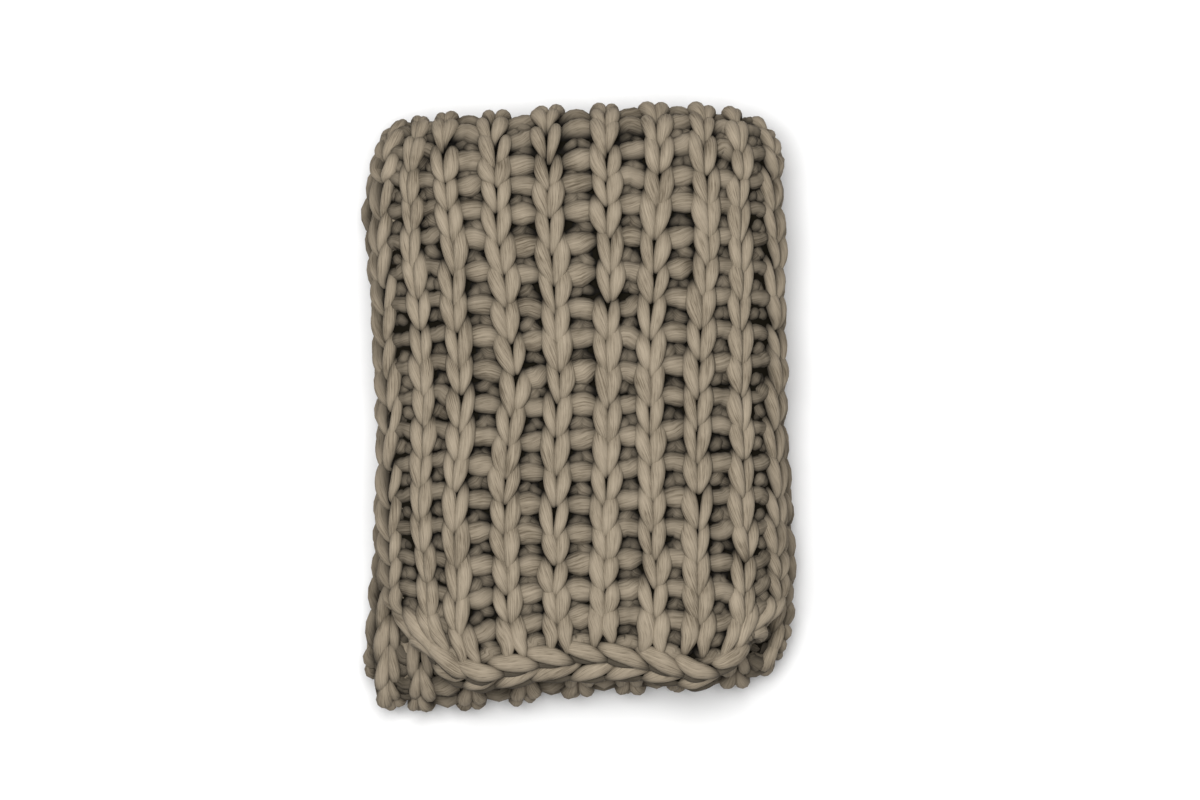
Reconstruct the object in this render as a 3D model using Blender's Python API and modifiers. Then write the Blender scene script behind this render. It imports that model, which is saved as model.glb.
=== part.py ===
"""A throw in thick rib knit, folded in three across its width and in three along its length.

The cloth is one sheet. Its place at any point comes from two fold paths: one across the width, which
makes a strip of three layers, and one along the length, which lays that strip back and forth.
Metres, +Z up. X runs across the bundle, -Y is the side where the chain edge shows, and the bundle
stands on Z = 0.
"""

import math

import bmesh
import bpy

# The knitted cloth
CLOTH_THICK = 0.012
CHAIN_THICK = 0.015
RIB_PITCH = 0.047
RIB_HALF_FLAT = 0.010
RIB_RISE_TOP = 0.005
RIB_RISE_UNDER = 0.0025
VALLEY_SHARE = 0.5
HIDDEN_RISE_SHARE = 0.2
CHAIN_RISE = 0.0015
CHAIN_SCALLOP = 0.004
CHAIN_WIDTH = 0.018

# The strip: left third under the middle third, right third under both
TOP_LEVEL = 0.020
LEFT_LEVEL = 0.0
RIGHT_LEVEL = -0.018
LEFT_FOLD_X = -0.183
RIGHT_FOLD_X = 0.178
LEFT_THIRD_END_X = 0.150
RIGHT_THIRD_END_X = -0.178

# The bundle: the strip laid back and forth
FAR_FOLD_Y = 0.237
FAR_FOLD_RADIUS = 0.031
NEAR_FOLD_Y = -0.240
NEAR_FOLD_RADIUS = 0.033
LAST_EDGE_Y = 0.262
BOTTOM_LEVEL = 0.027

# How the soft bundle settles
CORNER_RADII = {
    ("far", "left"): 0.075,
    ("far", "right"): 0.075,
    ("near", "left"): 0.036,
    ("near", "right"): 0.056,
}
FAR_END_Y = 0.297
NEAR_END_Y = -0.303
NEAR_PULL_FROM_Y = -0.160
NEAR_PULL_REACH = 0.120
SLUMP = 0.27
SLUMP_FROM_X = 0.100
SLUMP_TO_X = 0.205
SECOND_EDGE = 0.018
THIRD_EDGE = 0.010
EDGE_REACH = 0.160
REST_FLAT = 0.0022
CORNER_THIN = 0.6

FOLD_STEPS = 8
TOP_PANEL_STEPS = 7
INNER_PANEL_STEPS = 5

# The near edge of the top panel, from its sides to its middle
CHAIN_EDGE = (
    # distance from the middle, y
    (0.205, -0.236),
    (0.190, -0.253),
    (0.172, -0.268),
    (0.150, -0.278),
    (0.120, -0.280),
    (0.085, -0.272),
    (0.045, -0.264),
    (0.000, -0.262),
)

# How far the lower layers reach at the near end, from right to left
NEAR_END = (
    # x, y
    (0.210, -0.277),
    (0.165, -0.280),
    (0.130, -0.286),
    (0.000, -0.290),
    (-0.050, -0.296),
    (-0.150, -0.303),
    (-0.180, -0.314),
    (-0.215, -0.334),
)

# Where the cloth has a column of points on its plain third and round its two side folds
HIDDEN_PLACES_X = (0.150, 0.128, 0.100, 0.000, -0.100, -0.130, -0.158)
LEFT_FOLD_COLUMNS = (
    # distance round the fold, how proud
    (0.000, 0.0),
    (0.008, 0.0),
    (0.016, 0.0010),
    (0.024, 0.0015),
)
RIGHT_FOLD_COLUMNS = (
    # distance round the fold, how proud
    (0.000, -0.0010),
    (0.010, 0.0020),
    (0.020, 0.0020),
    (0.030, -0.0010),
    (0.040, 0.0010),
    (0.050, 0.0010),
)

# Middle lines of the ribs on the top, at five places from far to near
RIB_PLACES_Y = (0.270, 0.145, 0.020, -0.105, -0.230)
RIBS_ON_TOP = (
    # far, upper, middle, lower, near
    (-0.168, -0.163, -0.155, -0.158, -0.160),
    (-0.136, -0.122, -0.120, -0.126, -0.131),
    (-0.085, -0.077, -0.065, -0.078, -0.079),
    (-0.028, -0.026, -0.022, -0.026, -0.032),
    (0.029, 0.031, 0.028, 0.024, 0.019),
    (0.084, 0.073, 0.066, 0.072, 0.070),
    (0.129, 0.127, 0.119, 0.114, 0.113),
    (0.165, 0.158, 0.159, 0.163, 0.162),
)

# Outer sides of each panel of the strip, from far to near
PANEL_SIDES = {
    # y, left, right
    "top": (
        (0.240, -0.204, 0.206),
        (0.140, -0.206, 0.210),
        (0.000, -0.199, 0.209),
        (-0.120, -0.200, 0.211),
        (-0.220, -0.191, 0.211),
        (-0.270, -0.186, 0.209),
    ),
    "middle": (
        (0.240, -0.208, 0.206),
        (0.190, -0.218, 0.208),
        (0.080, -0.204, 0.209),
        (-0.050, -0.201, 0.213),
        (-0.160, -0.206, 0.223),
        (-0.240, -0.214, 0.217),
    ),
    "bottom": (
        (0.240, -0.206, 0.207),
        (0.100, -0.209, 0.209),
        (-0.050, -0.203, 0.214),
        (-0.160, -0.207, 0.220),
        (-0.240, -0.212, 0.214),
    ),
}
LEFT_SIDE_X = -0.203
RIGHT_SIDE_X = 0.207


def clamp(value, low=0.0, high=1.0):
    return max(low, min(high, value))


def smooth(value):
    t = clamp(value)
    return t * t * (3.0 - 2.0 * t)


def blend(a, b, share):
    return a + (b - a) * share


def read_row(places, values, at):
    """The value at one place, read between the places of a falling list."""
    if at >= places[0]:
        return values[0]
    for place, following, value, after in zip(places, places[1:], values, values[1:]):
        if at >= following:
            return blend(value, after, (place - at) / (place - following))
    return values[-1]


def straight(start, end):
    """One straight stretch of a fold path: its length, and its place and facing at a distance."""
    length = math.dist(start, end)
    along = ((end[0] - start[0]) / length, (end[1] - start[1]) / length)
    facing = (-along[1], along[0])

    def at(distance):
        place = (start[0] + along[0] * distance, start[1] + along[1] * distance)
        return place, facing

    return length, at


def turn(centre, radius, first, last, outward):
    """One half turn of a fold path, between two angles. The cloth's face looks outward or inward."""
    length = radius * abs(last - first)

    def at(distance):
        angle = blend(first, last, distance / length)
        ray = (math.cos(angle), math.sin(angle))
        place = (centre[0] + radius * ray[0], centre[1] + radius * ray[1])
        return place, (ray[0] * outward, ray[1] * outward)

    return length, at


QUARTER = math.pi / 2
LEFT_FOLD_RADIUS = (TOP_LEVEL - LEFT_LEVEL) / 2
RIGHT_FOLD_RADIUS = (TOP_LEVEL - RIGHT_LEVEL) / 2
MIDDLE_LEVEL = BOTTOM_LEVEL + 2 * NEAR_FOLD_RADIUS
UPPER_LEVEL = MIDDLE_LEVEL + 2 * FAR_FOLD_RADIUS
NEAR_START_Y = -0.275

# The path across the width, as (X, height in the strip), face outward
ACROSS = {
    "left_third": straight((LEFT_THIRD_END_X, LEFT_LEVEL), (LEFT_FOLD_X, LEFT_LEVEL)),
    "left_fold": turn(
        (LEFT_FOLD_X, LEFT_LEVEL + LEFT_FOLD_RADIUS), LEFT_FOLD_RADIUS, -QUARTER, -3 * QUARTER, 1
    ),
    "top_third": straight((LEFT_FOLD_X, TOP_LEVEL), (RIGHT_FOLD_X, TOP_LEVEL)),
    "right_fold": turn(
        (RIGHT_FOLD_X, TOP_LEVEL - RIGHT_FOLD_RADIUS), RIGHT_FOLD_RADIUS, QUARTER, -QUARTER, 1
    ),
    "right_third": straight((RIGHT_FOLD_X, RIGHT_LEVEL), (RIGHT_THIRD_END_X, RIGHT_LEVEL)),
}

# The path along the length, as (Y, Z), with the strip's top side as its face
ALONG = {
    "top": straight((NEAR_START_Y, UPPER_LEVEL), (FAR_FOLD_Y, UPPER_LEVEL)),
    "far_fold": turn(
        (FAR_FOLD_Y, UPPER_LEVEL - FAR_FOLD_RADIUS), FAR_FOLD_RADIUS, QUARTER, -QUARTER, 1
    ),
    "middle": straight((FAR_FOLD_Y, MIDDLE_LEVEL), (NEAR_FOLD_Y, MIDDLE_LEVEL)),
    "near_fold": turn(
        (NEAR_FOLD_Y, MIDDLE_LEVEL - NEAR_FOLD_RADIUS), NEAR_FOLD_RADIUS, QUARTER, 3 * QUARTER, -1
    ),
    "bottom": straight((NEAR_FOLD_Y, BOTTOM_LEVEL), (LAST_EDGE_Y, BOTTOM_LEVEL)),
}


def rib_shift(x, y):
    """How far a point on the top moves sideways, so that the ribs wander as they lie."""
    here = [read_row(RIB_PLACES_Y, rib, y) for rib in RIBS_ON_TOP]
    level = [sum(rib) / len(rib) for rib in RIBS_ON_TOP]
    level = [LEFT_FOLD_X] + level + [RIGHT_FOLD_X]
    here = [LEFT_FOLD_X] + here + [RIGHT_FOLD_X]
    for a, b, from_here, to_here in zip(level, level[1:], here, here[1:]):
        if a <= x <= b:
            return blend(from_here, to_here, (x - a) / (b - a)) - x
    return 0.0


def panel_sides(panel, y):
    rows = PANEL_SIDES[panel]
    places = [row[0] for row in rows]
    return (
        read_row(places, [row[1] for row in rows], y),
        read_row(places, [row[2] for row in rows], y),
    )


def sides(stretch, share, y):
    """Where the strip's two sides lie, blended round its folds."""
    if stretch == "far_fold":
        upper, lower = panel_sides("top", y), panel_sides("middle", y)
    elif stretch == "near_fold":
        upper, lower = panel_sides("middle", y), panel_sides("bottom", y)
    else:
        return panel_sides(stretch, y)
    return (
        blend(upper[0], lower[0], smooth(share)),
        blend(upper[1], lower[1], smooth(share)),
    )


def near_end_at(x):
    return read_row([row[0] for row in NEAR_END], [row[1] for row in NEAR_END], x)


def near_end_pull(x, y):
    """The near end of the lower layers is uneven: it reaches further on the left than on the right."""
    return (near_end_at(x) - NEAR_END_Y) * smooth((NEAR_PULL_FROM_Y - y) / NEAR_PULL_REACH)


def rounded_corner(x, y, side_x):
    """Draws the corners in, seen from above."""
    radius = CORNER_RADII["far" if y > 0 else "near", "left" if x < 0 else "right"]
    end_y = FAR_END_Y if y > 0 else near_end_at(x)
    a = clamp((abs(x) - (abs(side_x) - radius)) / radius)
    b = clamp((abs(y) - (abs(end_y) - radius)) / radius)
    x -= math.copysign(radius * a * (1.0 - math.sqrt(1.0 - b * b / 2)), x)
    y -= math.copysign(radius * b * (1.0 - math.sqrt(1.0 - a * a / 2)), y)
    return x, y


def chain_edge_pull(x, height, distance):
    """How far the near edge of the top panel lies from its level line: bowed, and layer by layer."""
    places = [row[0] for row in CHAIN_EDGE]
    bowed = read_row(places, [row[1] for row in CHAIN_EDGE], abs(x))
    depth = (TOP_LEVEL - height) / (TOP_LEVEL - RIGHT_LEVEL)
    edge = bowed - SECOND_EDGE * smooth(depth * 2.0) + THIRD_EDGE * smooth(depth * 2.0 - 1.0)
    return (edge - NEAR_START_Y) * (1.0 - smooth(distance / EDGE_REACH))


def slump(x):
    """The share of its height that the bundle keeps at this distance from its middle, and its slope."""
    reach = SLUMP_TO_X - SLUMP_FROM_X
    out = clamp((abs(x) - SLUMP_FROM_X) / reach, 0.0, 1.1)
    return 1.0 - SLUMP * out * out, 2.0 * SLUMP * out / reach


def squeeze(x, z):
    """How much thinner the cloth lies where the bundle slopes down to its sides."""
    kept, slope = slump(x)
    return kept / math.hypot(1.0, slope * z)


def settle(x, y, z, side_left, side_right):
    """Lays a point of the level bundle where the soft one has it."""
    share = (x - LEFT_SIDE_X) / (RIGHT_SIDE_X - LEFT_SIDE_X)
    x = blend(side_left, side_right, share)
    z *= slump(x)[0]
    x, y = rounded_corner(x, y, side_left if x < 0 else side_right)
    return x, y, z


def rise_share(across, along):
    """Ribs stand at their full height only where they show."""
    seen = {
        "top_third": ("top", "far_fold"),
        "right_third": ("near_fold", "bottom"),
        "left_fold": tuple(ALONG),
        "right_fold": tuple(ALONG),
    }
    return 1.0 if along in seen.get(across, ()) else HIDDEN_RISE_SHARE


def cloth_point(across, u, along, v, rise):
    """A point of the cloth: how far along a stretch of each path, and how far proud of it."""
    (x, height), (face_x, face_up) = ACROSS[across][1](u)
    (y, z), (face_y, face_z) = ALONG[along][1](v)
    if across == "top_third":
        fade = 1.0 if along == "top" else 0.0
        if along == "far_fold":
            fade = 1.0 - smooth(v / ALONG[along][0])
        x += rib_shift(x, y) * fade
    if along == "top":
        y += chain_edge_pull(x, height, v)
    rise *= rise_share(across, along) * squeeze(x, z)
    height += face_up * rise
    x += face_x * rise
    y += face_y * height
    z += face_z * height
    left, right = sides(along, v / ALONG[along][0], y)
    if along != "top":
        y += near_end_pull(x, y)
    return settle(x, y, z, left, right)


def rib_columns(length, centres, rise):
    """Distances across one stretch, each with how proud the cloth is there."""
    edges = [0.0] + [(a + b) / 2 for a, b in zip(centres, centres[1:])] + [length]
    columns = []
    for low, centre in zip(edges, centres):
        columns.append((low, -rise * VALLEY_SHARE if low else 0.0))
        columns.append((centre - RIB_HALF_FLAT, rise))
        columns.append((centre + RIB_HALF_FLAT, rise))
    return columns


def columns_across():
    """Every column of the sheet, as (stretch, distance, rise)."""
    top_centres = [sum(rib) / len(rib) - LEFT_FOLD_X for rib in RIBS_ON_TOP]
    right_length = ACROSS["right_third"][0]
    right_count = int(right_length / RIB_PITCH)
    right_centres = [(n + 0.5) * right_length / right_count for n in range(right_count)]
    stretches = {
        "left_third": [(LEFT_THIRD_END_X - x, 0.0) for x in HIDDEN_PLACES_X],
        "left_fold": LEFT_FOLD_COLUMNS,
        "top_third": rib_columns(ACROSS["top_third"][0], top_centres, RIB_RISE_TOP),
        "right_fold": RIGHT_FOLD_COLUMNS,
        "right_third": rib_columns(right_length, right_centres, RIB_RISE_UNDER),
    }
    columns = []
    for name, stretch in stretches.items():
        columns += [(name, distance, rise) for distance, rise in stretch]
    columns.append(("right_third", right_length, 0.0))
    return columns


def rows_along():
    """Every row of the sheet, as (stretch, distance, whether it is a row of the chain edge)."""
    steps = {
        "top": TOP_PANEL_STEPS,
        "far_fold": FOLD_STEPS,
        "middle": INNER_PANEL_STEPS,
        "near_fold": FOLD_STEPS,
        "bottom": INNER_PANEL_STEPS,
    }
    rows = [("top", 0.0, True), ("top", CHAIN_WIDTH / 2, True), ("top", CHAIN_WIDTH, False)]
    for name, count in steps.items():
        length = ALONG[name][0]
        rows += [(name, length * step / count, False) for step in range(count)]
    rows.remove(("top", 0.0, False))
    last = ALONG["bottom"][0]
    rows += [
        ("bottom", last - CHAIN_WIDTH, False),
        ("bottom", last - CHAIN_WIDTH / 2, True),
        ("bottom", last, True),
    ]
    return rows


def fold_sheet(name):
    """The cloth as an open sheet, folded, with a group that says where it is full thickness."""
    columns = columns_across()
    rows = rows_along()
    sheet = bmesh.new()
    bmesh.ops.create_grid(
        sheet, x_segments=len(columns) - 1, y_segments=len(rows) - 1, size=1.0
    )
    weights = []
    travelled = 0.0
    starts = {}
    for stretch, (length, _) in ACROSS.items():
        starts[stretch] = travelled
        travelled += length
    for vert in sheet.verts:
        column = round((vert.co.x + 1.0) / 2 * (len(columns) - 1))
        row = round((vert.co.y + 1.0) / 2 * (len(rows) - 1))
        across, u, rise = columns[column]
        along, v, chain = rows[row]
        x, y, z = cloth_point(across, u, along, v, CHAIN_RISE if chain else rise)
        if chain:
            link = abs(math.sin(math.pi * (starts[across] + u) / RIB_PITCH))
            y += math.copysign(CHAIN_SCALLOP * link, y)
        vert.co = (x, y, z)
        full = 1.0 if chain else CLOTH_THICK / CHAIN_THICK
        if across.endswith("fold") and along.endswith("fold"):
            full *= CORNER_THIN
        weights.append(full * squeeze(x, z))
    mesh = bpy.data.meshes.new(name)
    sheet.to_mesh(mesh)
    sheet.free()
    return mesh, weights


def press_underside(mesh):
    """The cloth is flat where it lies on the surface."""
    for vert in mesh.vertices:
        if vert.co.z < REST_FLAT:
            vert.co.z = 0.0


def centre_on_origin(mesh):
    """Puts the middle of the footprint on the origin."""
    xs = [vert.co.x for vert in mesh.vertices]
    ys = [vert.co.y for vert in mesh.vertices]
    middle_x = (min(xs) + max(xs)) / 2
    middle_y = (min(ys) + max(ys)) / 2
    for vert in mesh.vertices:
        vert.co.x -= middle_x
        vert.co.y -= middle_y


def wool_material():
    material = bpy.data.materials.new("greige_wool")
    material.use_nodes = True
    shader = material.node_tree.nodes["Principled BSDF"]
    shader.inputs["Base Color"].default_value = (0.33, 0.28, 0.21, 1.0)
    shader.inputs["Roughness"].default_value = 0.95
    shader.inputs["Metallic"].default_value = 0.0
    return material


def make_blanket(collection):
    sheet, weights = fold_sheet("sheet")
    draft = bpy.data.objects.new("draft", sheet)
    collection.objects.link(draft)
    group = draft.vertex_groups.new(name="thickness")
    for index, weight in enumerate(weights):
        group.add([index], weight, "REPLACE")
    wall = draft.modifiers.new("wall", "SOLIDIFY")
    wall.thickness = CHAIN_THICK
    wall.offset = 0.0
    wall.vertex_group = group.name
    graph = bpy.context.evaluated_depsgraph_get()
    mesh = bpy.data.meshes.new_from_object(draft.evaluated_get(graph))
    mesh.name = "blanket"
    press_underside(mesh)
    centre_on_origin(mesh)
    mesh.materials.clear()
    mesh.materials.append(wool_material())
    mesh.shade_smooth()
    blanket = bpy.data.objects.new("blanket", mesh)
    collection.objects.link(blanket)
    bpy.data.objects.remove(draft)
    bpy.data.meshes.remove(sheet)
    return blanket


def main():
    for old in list(bpy.data.objects):
        bpy.data.objects.remove(old)
    collection = bpy.data.collections.new("folded_wool_blanket")
    bpy.context.scene.collection.children.link(collection)
    make_blanket(collection)


main()
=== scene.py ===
import math
import random
import bpy
import numpy as np
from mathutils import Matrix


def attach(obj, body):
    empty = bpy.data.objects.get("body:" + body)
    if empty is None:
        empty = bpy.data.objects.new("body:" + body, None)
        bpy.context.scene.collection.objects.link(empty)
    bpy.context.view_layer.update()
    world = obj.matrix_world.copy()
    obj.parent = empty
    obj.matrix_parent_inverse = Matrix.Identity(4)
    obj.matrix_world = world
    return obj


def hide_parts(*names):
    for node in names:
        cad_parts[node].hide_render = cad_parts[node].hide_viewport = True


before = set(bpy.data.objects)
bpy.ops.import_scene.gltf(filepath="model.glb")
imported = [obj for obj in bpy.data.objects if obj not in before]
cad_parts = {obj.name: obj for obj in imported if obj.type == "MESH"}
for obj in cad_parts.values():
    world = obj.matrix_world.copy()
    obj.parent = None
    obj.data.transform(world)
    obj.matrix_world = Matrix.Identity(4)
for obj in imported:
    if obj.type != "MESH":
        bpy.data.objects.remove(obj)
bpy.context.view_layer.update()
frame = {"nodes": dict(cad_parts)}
print("frame loaded:", ", ".join(frame["nodes"]))

# The folded cloth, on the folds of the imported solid. Its ends, its corners and its chain edge are drawn a
# little closer to the real outline, which moves them by up to about 13 mm.
cloth = {
    "topLevel": 0.020,
    "leftLevel": 0.0,
    "rightLevel": -0.018,
    "leftFoldX": -0.183,
    "rightFoldX": 0.178,
    "leftThirdEndX": 0.150,
    "rightThirdEndX": -0.178,
    "farFoldY": 0.237,
    "farFoldRadius": 0.031,
    "nearFoldY": -0.240,
    "nearFoldRadius": 0.033,
    "nearStartY": -0.275,
    "lastEdgeY": 0.262,
    "bottomLevel": 0.027,
    "farLeft": 0.072,
    "farRight": 0.064,
    "nearLeft": 0.036,
    "nearRight": 0.050,
    "farEndY": 0.297,
    "nearEndY": -0.303,
    "slump": 0.27,
    "slumpFromX": 0.100,
    "slumpToX": 0.205,
    "mostOut": 1.1,  # the slump and the corners' lean stop growing here
    "endPullFrom": 0.16,
    "endPullReach": 0.12,
    "secondEdge": 0.018,
    "secondEdgeBow": 0.55,
    "secondEdgeReach": 0.13,
    "thirdEdge": 0.010,
    "gather": 0.055,  # how much the ribs close up at the near chain edge
    "gatherReach": 0.060,
    "cornerGather": 0.022,
    "cornerReach": 0.062,
    "cornerX": 0.2,
    "edgeReach": 0.160,
    "leftSideX": -0.203,
    "rightSideX": 0.207,
    "toOriginX": -0.0038,  # the solid's footprint is centred on the origin
    "toOriginY": 0.0034,
    "probe": 0.001,  # the small rise that tells which way the cloth faces
}

# distance from the middle of the near edge, and how far down the edge lies there
chainEdgeLine = (
    (0.205, -0.226),
    (0.190, -0.247),
    (0.172, -0.264),
    (0.150, -0.276),
    (0.120, -0.279),
    (0.085, -0.271),
    (0.045, -0.262),
    (0.000, -0.260),
)

# how far the two ends of the folded strip reach, from right to left
nearEndLine = (
    (0.210, -0.280),
    (0.180, -0.290),
    (0.150, -0.291),
    (0.130, -0.293),
    (0.000, -0.300),
    (-0.040, -0.304),
    (-0.065, -0.309),
    (-0.120, -0.312),
    (-0.150, -0.3165),
    (-0.170, -0.3155),
    (-0.185, -0.310),
    (-0.215, -0.328),
)
farEndLine = (
    (0.210, 0.296),
    (0.158, 0.290),
    (0.138, 0.288),
    (0.118, 0.293),
    (0.000, 0.292),
    (-0.042, 0.288),
    (-0.062, 0.286),
    (-0.142, 0.284),
    (-0.162, 0.283),
    (-0.182, 0.290),
    (-0.205, 0.297),
)

# middle lines of the V columns on the top, at five places from far to near
ribPlacesY = (0.270, 0.145, 0.020, -0.105, -0.230)
ribsOnTop = (
    # far, upper, middle, lower, near
    (-0.168, -0.163, -0.155, -0.158, -0.160),
    (-0.136, -0.122, -0.120, -0.126, -0.131),
    (-0.085, -0.077, -0.065, -0.078, -0.079),
    (-0.028, -0.026, -0.022, -0.026, -0.032),
    (0.029, 0.031, 0.028, 0.024, 0.019),
    (0.084, 0.073, 0.066, 0.072, 0.070),
    (0.129, 0.127, 0.119, 0.114, 0.113),
    (0.165, 0.158, 0.159, 0.163, 0.162),
)

# outer sides of each panel of the folded strip, from far to near
panelSides = {
    # y, left, right
    "top": (
        (0.240, -0.204, 0.206),
        (0.140, -0.206, 0.210),
        (0.000, -0.199, 0.209),
        (-0.120, -0.200, 0.211),
        (-0.220, -0.191, 0.211),
        (-0.270, -0.186, 0.209),
    ),
    "middle": (
        (0.240, -0.208, 0.206),
        (0.190, -0.218, 0.208),
        (0.080, -0.204, 0.209),
        (-0.050, -0.201, 0.213),
        (-0.160, -0.206, 0.223),
        (-0.240, -0.214, 0.217),
    ),
    "bottom": (
        (0.240, -0.206, 0.207),
        (0.100, -0.209, 0.209),
        (-0.050, -0.203, 0.214),
        (-0.160, -0.207, 0.220),
        (-0.240, -0.212, 0.214),
    ),
}


def clamp(value, low=0.0, high=1.0):
    return max(low, min(high, value))


def smooth(value):
    t = clamp(value)
    return t * t * (3.0 - 2.0 * t)


def ease(value, start, end):
    return smooth((value - start) / (end - start))


def blend(a, b, share):
    return a + (b - a) * share


def readRow(places, values, at):
    # the value at one place of a falling list
    if at >= places[0]:
        return values[0]
    for place, following, value, after in zip(places, places[1:], values, values[1:]):
        if at >= following:
            return blend(value, after, (place - at) / (place - following))
    return values[-1]


def straight(start, end):
    length = math.dist(start, end)
    along = ((end[0] - start[0]) / length, (end[1] - start[1]) / length)

    def at(distance):
        place = (start[0] + along[0] * distance, start[1] + along[1] * distance)
        return place, (-along[1], along[0])

    return length, at


def turn(centre, radius, first, last, outward):
    length = radius * abs(last - first)

    def at(distance):
        angle = blend(first, last, distance / length)
        ray = (math.cos(angle), math.sin(angle))
        place = (centre[0] + radius * ray[0], centre[1] + radius * ray[1])
        return place, (ray[0] * outward, ray[1] * outward)

    return length, at


def foldPaths(c):
    # across the width as (x, height in the strip), then along the length as (y, z)
    quarter = math.pi / 2
    leftRadius = (c["topLevel"] - c["leftLevel"]) / 2
    rightRadius = (c["topLevel"] - c["rightLevel"]) / 2
    middle = c["bottomLevel"] + 2 * c["nearFoldRadius"]
    upper = middle + 2 * c["farFoldRadius"]
    top, left, right = c["topLevel"], c["leftLevel"], c["rightLevel"]
    leftX, rightX, farY, nearY = c["leftFoldX"], c["rightFoldX"], c["farFoldY"], c["nearFoldY"]
    across = {
        "leftThird": straight((c["leftThirdEndX"], left), (leftX, left)),
        "leftFold": turn((leftX, left + leftRadius), leftRadius, -quarter, -3 * quarter, 1),
        "topThird": straight((leftX, top), (rightX, top)),
        "rightFold": turn((rightX, top - rightRadius), rightRadius, quarter, -quarter, 1),
        "rightThird": straight((rightX, right), (c["rightThirdEndX"], right)),
    }
    farTurn = ((farY, upper - c["farFoldRadius"]), c["farFoldRadius"])
    nearTurn = ((nearY, middle - c["nearFoldRadius"]), c["nearFoldRadius"])
    along = {
        "top": straight((c["nearStartY"], upper), (farY, upper)),
        "farFold": turn(*farTurn, quarter, -quarter, 1),
        "middle": straight((farY, middle), (nearY, middle)),
        "nearFold": turn(*nearTurn, quarter, 3 * quarter, -1),
        "bottom": straight((nearY, c["bottomLevel"]), (c["lastEdgeY"], c["bottomLevel"])),
    }
    return across, along


acrossPath, alongPath = foldPaths(cloth)


def startsOf(path):
    starts, total = {}, 0.0
    for name, (length, _) in path.items():
        starts[name] = total
        total += length
    return starts, total


acrossStart, clothWidth = startsOf(acrossPath)
alongStart, clothLength = startsOf(alongPath)


def stretchAt(path, starts, distance):
    # the stretch of a path that holds this distance from the path's start
    names = list(path)
    for name in reversed(names):
        if distance >= starts[name]:
            return name, distance - starts[name]
    return names[0], distance


def ribShift(x, y):
    # how far the V columns wander sideways on the top
    level = [sum(rib) / len(rib) for rib in ribsOnTop]
    here = [readRow(ribPlacesY, rib, y) for rib in ribsOnTop]
    level = [cloth["leftFoldX"]] + level + [cloth["rightFoldX"]]
    here = [cloth["leftFoldX"]] + here + [cloth["rightFoldX"]]
    for a, b, fromHere, toHere in zip(level, level[1:], here, here[1:]):
        if a <= x <= b:
            return blend(fromHere, toHere, (x - a) / (b - a)) - x
    return 0.0


def sidesAt(panel, y):
    rows = panelSides[panel]
    places = [row[0] for row in rows]
    return [readRow(places, [row[n] for row in rows], y) for n in (1, 2)]


def stripSides(stretch, share, y):
    if stretch == "farFold":
        upper, lower = sidesAt("top", y), sidesAt("middle", y)
    elif stretch == "nearFold":
        upper, lower = sidesAt("middle", y), sidesAt("bottom", y)
    else:
        return sidesAt(stretch, y)
    return [blend(a, b, smooth(share)) for a, b in zip(upper, lower)]


def cornerAt(x, y):
    return cloth[("far" if y > 0 else "near") + ("Left" if x < 0 else "Right")]


def endAt(line, x):
    return readRow([row[0] for row in line], [row[1] for row in line], x)


def roundedCorner(x, y, sideX):
    radius = cornerAt(x, y)
    endY = endAt(farEndLine if y > 0 else nearEndLine, x)
    a = clamp((abs(x) - (abs(sideX) - radius)) / radius)
    b = clamp((abs(y) - (abs(endY) - radius)) / radius)
    x -= math.copysign(radius * a * (1.0 - math.sqrt(1.0 - b * b / 2)), x)
    y -= math.copysign(radius * b * (1.0 - math.sqrt(1.0 - a * a / 2)), y)
    return x, y


def farEndPull(x, y):
    pull = smooth((y - cloth["endPullFrom"]) / cloth["endPullReach"])
    return (endAt(farEndLine, x) - cloth["farEndY"]) * pull


def nearEndPull(x, y):
    # the near fold is uneven: it reaches further on the left than on the right
    pull = smooth((-cloth["endPullFrom"] - y) / cloth["endPullReach"])
    return (endAt(nearEndLine, x) - cloth["nearEndY"]) * pull


def chainEdgePull(x, height, distance):
    places = [row[0] for row in chainEdgeLine]
    bowed = readRow(places, [row[1] for row in chainEdgeLine], abs(x))
    depth = (cloth["topLevel"] - height) / (cloth["topLevel"] - cloth["rightLevel"])
    bow = cloth["secondEdgeBow"] * smooth(abs(x) / cloth["secondEdgeReach"])
    second = cloth["secondEdge"] * (1.0 - bow)
    edge = bowed - second * smooth(depth * 2.0) + cloth["thirdEdge"] * smooth(depth * 2.0 - 1.0)
    return (edge - cloth["nearStartY"]) * (1.0 - smooth(distance / cloth["edgeReach"]))


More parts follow.
